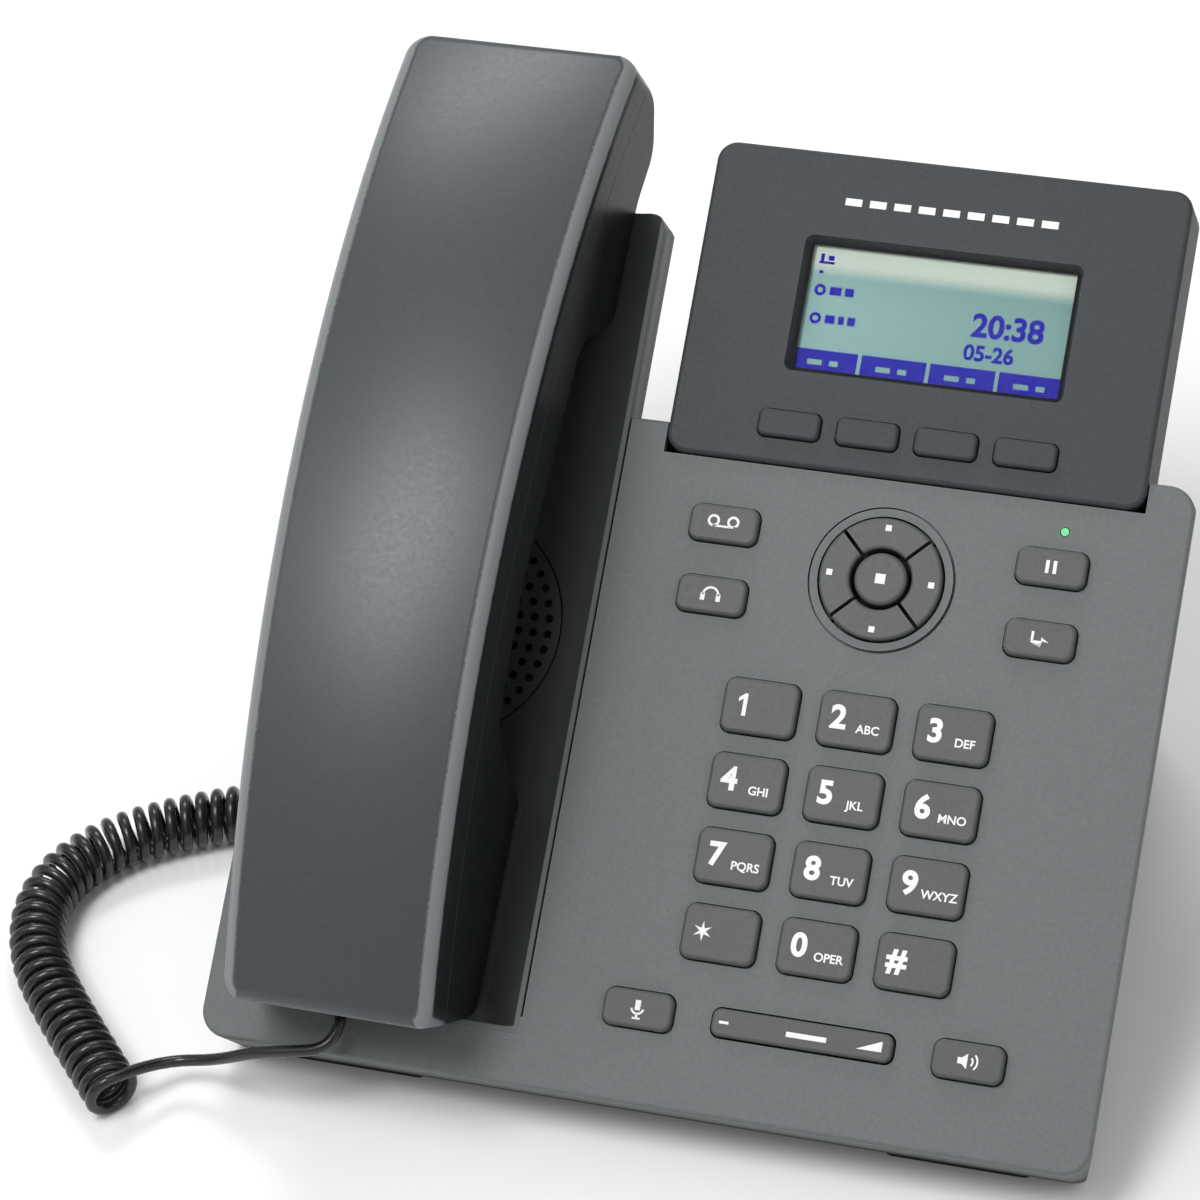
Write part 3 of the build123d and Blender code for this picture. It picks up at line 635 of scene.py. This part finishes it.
ICONS = {
    "message_key": [ring_arc(-2.0, 0.4, 0.75, 1.25), ring_arc(2.0, 0.4, 0.75, 1.25),
                    bar(0, -0.65, 4.2, 0.45)],
    "headset_key": [ring_arc(0, -0.2, 1.35, 1.8, 0, 180), bar(-1.6, -0.6, 0.9, 1.5),
                    bar(1.6, -0.6, 0.9, 1.5)],
    "hold_key": [bar(-0.75, 0, 0.7, 2.6), bar(0.75, 0, 0.7, 2.6)],
    "transfer_key": [bar(-0.5, -0.6, 2.2, 0.5), [(0.4, -1.6), (2.0, -0.6), (0.4, 0.4)],
                     bar(-1.4, 0.5, 0.5, 1.9)],
    "mute_key": [ring_arc(0, 0.2, 1.0, 1.4, 190, 350), bar(0, 0.7, 1.1, 2.0),
                 bar(0, -1.5, 0.4, 0.7), bar(0, -1.9, 1.6, 0.35)],
    "speaker_key": [[(-2.0, -0.6), (-1.2, -0.6), (-0.1, -1.5), (-0.1, 1.5), (-1.2, 0.6), (-2.0, 0.6)],
                    ring_arc(-0.1, 0, 0.9, 1.25, -45, 45), ring_arc(-0.1, 0, 1.8, 2.15, -45, 45)],
    "nav_ok": [bar(0, 0, 2.0, 2.0)],
    "nav_up": [bar(0, 1.0, 1.2, 1.2)],
    "nav_down": [bar(0, -1.0, 1.2, 1.2)],
    "nav_left": [bar(-1.0, 0, 1.2, 1.2)],
    "nav_right": [bar(1.0, 0, 1.2, 1.2)],
    "volume_rocker": [bar(-15.5, 0, 1.9, 0.55), bar(1.0, -0.3, 8.0, 1.0),
                      [(11.0, -0.9), (16.0, -0.9), (16.0, 1.2)]],
}


def print_icons():
    for node, outlines in ICONS.items():
        stamp("icon_" + node, outlines, key_top(node), node)


# The screen's layout, in millimetres from its middle
LABEL_PLACES = (-21.0, -7.0, 7.0, 21.0)
LABEL_Y = -11.0
STATUS_LINE = [bar(-24.0, 9.6, 3.2, 0.5), bar(-25.0, 10.6, 0.7, 1.6), bar(-23.2, 10.6, 1.2, 1.0),
               bar(-24.8, 7.6, 0.8, 0.6)]
LINE_MARKERS = {3.9: (2.4, 1.8), -2.0: (2.0, 1.2, 1.6)}    # height: widths of the blocks
MARKER_X = -24.4
BLOCK_START, BLOCK_HEIGHT, BLOCK_GAP = -22.4, 1.7, 0.7
CLOCK_AT = Vector((14.6, 0.2, 0)) * MM
DATE_AT = Vector((11.6, -5.4, 0)) * MM
SCREEN_WEIGHT = 0.03
BORDER = [bar(0, 0, 59.0, 30.7), bar(0, 0, 53.6, 25.6)]


def draw_screen():
    """What the display shows: a status line, two line markers, a clock and four soft labels."""
    low, high = panel_box("lcd_lens")
    middle = (low + high) / 2
    at = Vector((middle.x, middle.y, low.z - PRINT))
    labels = []
    for x in LABEL_PLACES:
        labels += [bar(x, LABEL_Y + 0.1, 13.2, 4.9), bar(x - 2.0, LABEL_Y, 3.0, 1.1),
                   bar(x + 1.9, LABEL_Y, 1.8, 1.1)]
    stamp("screen_labels", labels, at, BASE, LCD_INK)
    marks = list(STATUS_LINE)
    for y, widths in LINE_MARKERS.items():
        marks += [circle(MARKER_X, y, 1.2), circle(MARKER_X, y, 0.55)]
        x = BLOCK_START
        for width in widths:
            marks.append(bar(x + width / 2, y, width, BLOCK_HEIGHT))
            x += width + BLOCK_GAP
    stamp("screen_marks", marks, at, BASE, LCD_INK)
    write("screen_clock", "20:38", 6.6 * MM, at + CLOCK_AT, BASE, LCD_INK, SCREEN_WEIGHT)
    write("screen_date", "05-26", 4.4 * MM, at + DATE_AT, BASE, LCD_INK, SCREEN_WEIGHT)
    rim = Vector((middle.x, middle.y, high.z + PRINT_LIFT))
    stamp("screen_border", BORDER, rim, BASE, BLACK_INK)


DASHES_BELOW_TOP = 10.0 * MM


def print_bezel():
    """A row of plain dashes above the window."""
    low, high = panel_box("display_bezel")
    middle = (low.x + high.x) / 2
    at = Vector((middle + 1.0 * MM, high.y - DASHES_BELOW_TOP, high.z + PRINT_LIFT))
    dashes = [bar(x, 0, 3.4, 1.5) for x in range(-20, 21, 5)]
    stamp("bezel_dashes", dashes, at, BASE, WHITE_INK)


CONTACT_PITCH = 1.02
CONTACT_BEND = ((1.5, 0.0), (6.0, 1.4), (11.5, 0.2))                      # along, drop
CONTACT_SECTION = ((-0.17, 0.0), (0.17, 0.0), (0.17, 0.3), (-0.17, 0.3))


def add_contacts():
    """Sprung gold wires in the two network jacks and the headset jack."""
    low, high = panel_box("network_jacks")
    wires = []
    for centre in (low.x + 8 * MM, high.x - 8 * MM):
        wires += [(centre + (step - 3.5) * CONTACT_PITCH * MM, high.z - 3.2 * MM, low.y)
                  for step in range(8)]
    low, high = panel_box("audio_jacks")
    wires += [(high.x - 5 * MM + (step - 1.5) * CONTACT_PITCH * MM, high.z - 2.0 * MM, low.y)
              for step in range(4)]
    vertices = []
    faces = []
    for x, z, y in wires:
        start = len(vertices)
        for along, drop in CONTACT_BEND:
            for side, up in CONTACT_SECTION:
                vertices.append((x + side * MM, y + along * MM, z + (up - drop) * MM))
        for ring in (start, start + 4):
            faces += [(ring + k, ring + (k + 1) % 4, ring + 4 + (k + 1) % 4, ring + 4 + k)
                      for k in range(4)]
        faces.append((start + 3, start + 2, start + 1, start))
        faces.append((start + 8, start + 9, start + 10, start + 11))
    mesh = bpy.data.meshes.new("jack_contacts")
    mesh.from_pydata(vertices, [], faces)
    mesh.transform(PANEL)
    mesh.materials.append(GOLD)
    contacts = add_object("jack_contacts", mesh)
    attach(contacts, BASE)


print_dial()
print_icons()
draw_screen()
print_bezel()
add_contacts()


# ---- floor and lights --------------------------------------------------------------------
FLOOR_REACH = 3.0
WORLD_STRENGTH = 0.50
LIGHTS_AIM = Vector((0, 0, 0.07))
LIGHTS = {   # place, size and power; the first two make the two highlights along the handset
    "overhead": ((-0.28, -0.40, 0.98), (0.36, 0.46), 6.5),
    "behind": ((-0.32, 0.60, 0.86), (0.50, 0.20), 3.6),
    "left_fill": ((-1.00, -0.40, 0.90), (0.60, 0.60), 1.0),
    "right_fill": ((1.10, -0.50, 1.30), (0.90, 0.90), 3.0),
}


def make_floor():
    mesh = bpy.data.meshes.new("floor")
    corners = [(x * FLOOR_REACH, y * FLOOR_REACH, 0) for x, y in ((-1, -1), (1, -1), (1, 1), (-1, 1))]
    mesh.from_pydata(corners, [], [(0, 1, 2, 3)])
    floor = add_object("floor", mesh)
    material, tree, shader = new_material("floor")
    tree.links.new(mix_colours(tree, noise(tree, 3.0), (0.86, 0.86, 0.86), (0.88, 0.88, 0.88)),
                   shader.inputs["Base Color"])
    shader.inputs["Roughness"].default_value = 0.9
    mesh.materials.append(material)


def area_light(name, at, size, power):
    data = bpy.data.lights.new(name, "AREA")
    data.shape = "RECTANGLE"
    data.size, data.size_y = size
    data.energy = power
    light = add_object(name, data)
    aim = LIGHTS_AIM - Vector(at)
    light.matrix_world = Matrix.Translation(at) @ aim.to_track_quat("-Z", "Y").to_matrix().to_4x4()


def make_lights():
    for name, (at, size, power) in LIGHTS.items():
        area_light(name, at, size, power)
    world = bpy.data.worlds.new("world")
    world.use_nodes = True
    background = world.node_tree.nodes["Background"]
    background.inputs["Color"].default_value = (1.0, 1.0, 1.0, 1.0)
    background.inputs["Strength"].default_value = WORLD_STRENGTH
    bpy.context.scene.world = world
    bpy.context.scene.view_settings.view_transform = "Standard"


make_floor()
make_lights()
